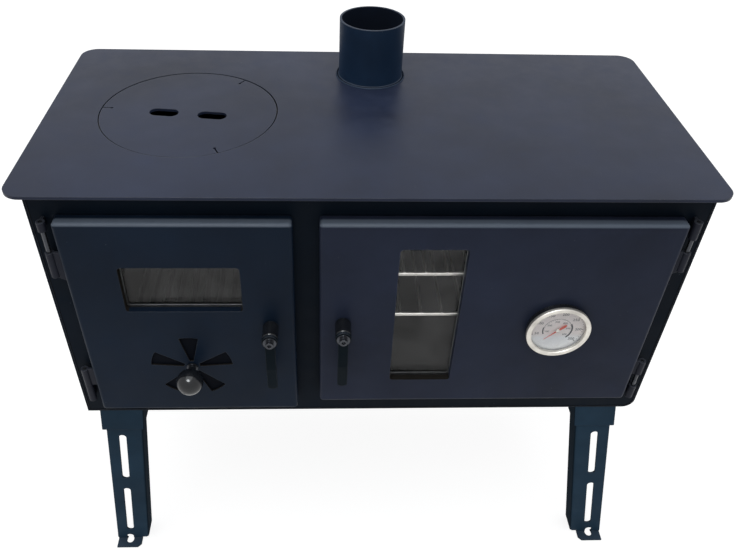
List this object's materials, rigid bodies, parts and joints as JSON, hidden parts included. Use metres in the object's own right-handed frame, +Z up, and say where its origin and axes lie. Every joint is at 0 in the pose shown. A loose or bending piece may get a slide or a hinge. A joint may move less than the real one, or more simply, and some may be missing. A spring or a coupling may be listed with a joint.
{
  "type": "camping wood stove with oven",
  "caption": "Black sheet-steel camping stove with a firebox door, a glazed oven door with a thermometer, a hob lid, a flue collar and lift-out legs.",
  "frame": {"origin": "centre of the bounding box on the floor, under the feet", "axes": "+X to the right seen from the front, the doors face -Y, +Z up"},
  "size_m": [0.763, 0.3924, 0.731],
  "materials": {
    "black_paint": "satin heat-proof black paint",
    "hob_black": "matte heat-proof black paint",
    "glass": "clear",
    "chrome": "polished",
    "steel": "satin",
    "knob_plastic": "gloss",
    "dial_white": "printed white",
    "needle_red": "red paint"
  },
  "bodies": {
    "stove_body": {"body_wrap": "black_paint", "side_plate_left": "black_paint", "back_panel": "black_paint", "front_panel": "black_paint", "fire_partition": "black_paint", "oven_liner": "black_paint", "rack_rails": "black_paint", "fire_grate": "black_paint", "grate_ledges": "black_paint", "top_plate": "hob_black", "hob_ring": "black_paint", "flue_collar": "black_paint", "hinge_brackets": "black_paint", "hinge_pins": "steel", "leg_socket_front_left": "black_paint", "leg_socket_front_right": "black_paint", "leg_socket_back_left": "black_paint", "leg_socket_back_right": "black_paint"},
    "firebox_door": {"firebox_door_panel": "black_paint", "firebox_glass": "glass", "firebox_glass_frame": "steel", "firebox_glass_studs": "steel", "firebox_hinge_lugs": "black_paint", "firebox_latch_bush": "black_paint"},
    "firebox_latch": {"firebox_latch_sleeve": "knob_plastic", "firebox_latch_lever": "black_paint", "firebox_latch_shaft": "steel", "firebox_latch_tongue": "black_paint", "firebox_latch_screw": "steel"},
    "air_damper": {"air_disc": "black_paint", "air_spindle": "steel", "air_knob": "knob_plastic", "air_nuts": "steel"},
    "oven_door": {"oven_door_panel": "black_paint", "oven_glass": "glass", "oven_glass_frame": "steel", "oven_glass_studs": "steel", "oven_hinge_lugs": "black_paint", "oven_latch_bush": "black_paint", "thermo_case": "steel", "thermo_bezel": "chrome", "thermo_dial": "dial_white", "thermo_lens": "glass", "thermo_stem": "steel", "thermo_nut": "steel"},
    "thermo_needle": {"thermo_pointer": "needle_red"},
    "oven_latch": {"oven_latch_sleeve": "knob_plastic", "oven_latch_lever": "black_paint", "oven_latch_shaft": "steel", "oven_latch_tongue": "black_paint", "oven_latch_screw": "steel"},
    "lid": {"hob_lid": "hob_black"},
    "rack_upper": {"oven_rack_upper": "chrome"},
    "rack_lower": {"oven_rack_lower": "chrome"},
    "front_left_leg": {"leg_front_left": "black_paint"},
    "front_right_leg": {"leg_front_right": "black_paint"},
    "back_left_leg": {"leg_back_left": "black_paint"},
    "back_right_leg": {"leg_back_right": "black_paint"}
  },
  "joints": [
    {"name": "firebox_door_hinge", "type": "hinge", "parent": "stove_body", "child": "firebox_door", "pos_m": [-0.3484, -0.1477, 0.48], "axis": [0, 0, -1], "range_deg": [0, 110]},
    {"name": "oven_door_hinge", "type": "hinge", "parent": "stove_body", "child": "oven_door", "pos_m": [0.3302, -0.1477, 0.48], "axis": [0, 0, 1], "range_deg": [0, 110]},
    {"name": "firebox_latch_turn", "type": "hinge", "parent": "firebox_door", "child": "firebox_latch", "pos_m": [-0.1218, -0.1387, 0.4845], "axis": [0, 1, 0], "range_deg": [0, 90]},
    {"name": "oven_latch_turn", "type": "hinge", "parent": "oven_door", "child": "oven_latch", "pos_m": [-0.04, -0.1387, 0.489], "axis": [0, -1, 0], "range_deg": [0, 90]},
    {"name": "air_damper_turn", "type": "hinge", "parent": "firebox_door", "child": "air_damper", "pos_m": [-0.2173, -0.1387, 0.418], "axis": [0, 1, 0], "range_deg": [0, 36]},
    {"name": "thermo_needle_turn", "type": "hinge", "parent": "oven_door", "child": "thermo_needle", "pos_m": [0.2068, -0.1387, 0.4825], "axis": [0, 1, 0], "range_deg": [0, 250]},
    {"name": "hob_lid_lift", "type": "slide", "parent": "stove_body", "child": "lid", "axis": [0, 0, 1], "range_m": [0, 0.15]},
    {"name": "rack_upper_slide", "type": "slide", "parent": "stove_body", "child": "rack_upper", "axis": [0, -1, 0], "range_m": [-0.01, 0.005]},
    {"name": "rack_lower_slide", "type": "slide", "parent": "stove_body", "child": "rack_lower", "axis": [0, -1, 0], "range_m": [-0.01, 0.005]},
    {"name": "front_left_leg_slide", "type": "slide", "parent": "stove_body", "child": "front_left_leg", "axis": [-0.1167, 0, -0.9932], "range_m": [0, 0.045]},
    {"name": "back_left_leg_slide", "type": "slide", "parent": "stove_body", "child": "back_left_leg", "axis": [-0.1167, 0, -0.9932], "range_m": [0, 0.045]},
    {"name": "front_right_leg_slide", "type": "slide", "parent": "stove_body", "child": "front_right_leg", "axis": [0.1891, 0, -0.982], "range_m": [0, 0.045]},
    {"name": "back_right_leg_slide", "type": "slide", "parent": "stove_body", "child": "back_right_leg", "axis": [0.1891, 0, -0.982], "range_m": [0, 0.045]}
  ]
}
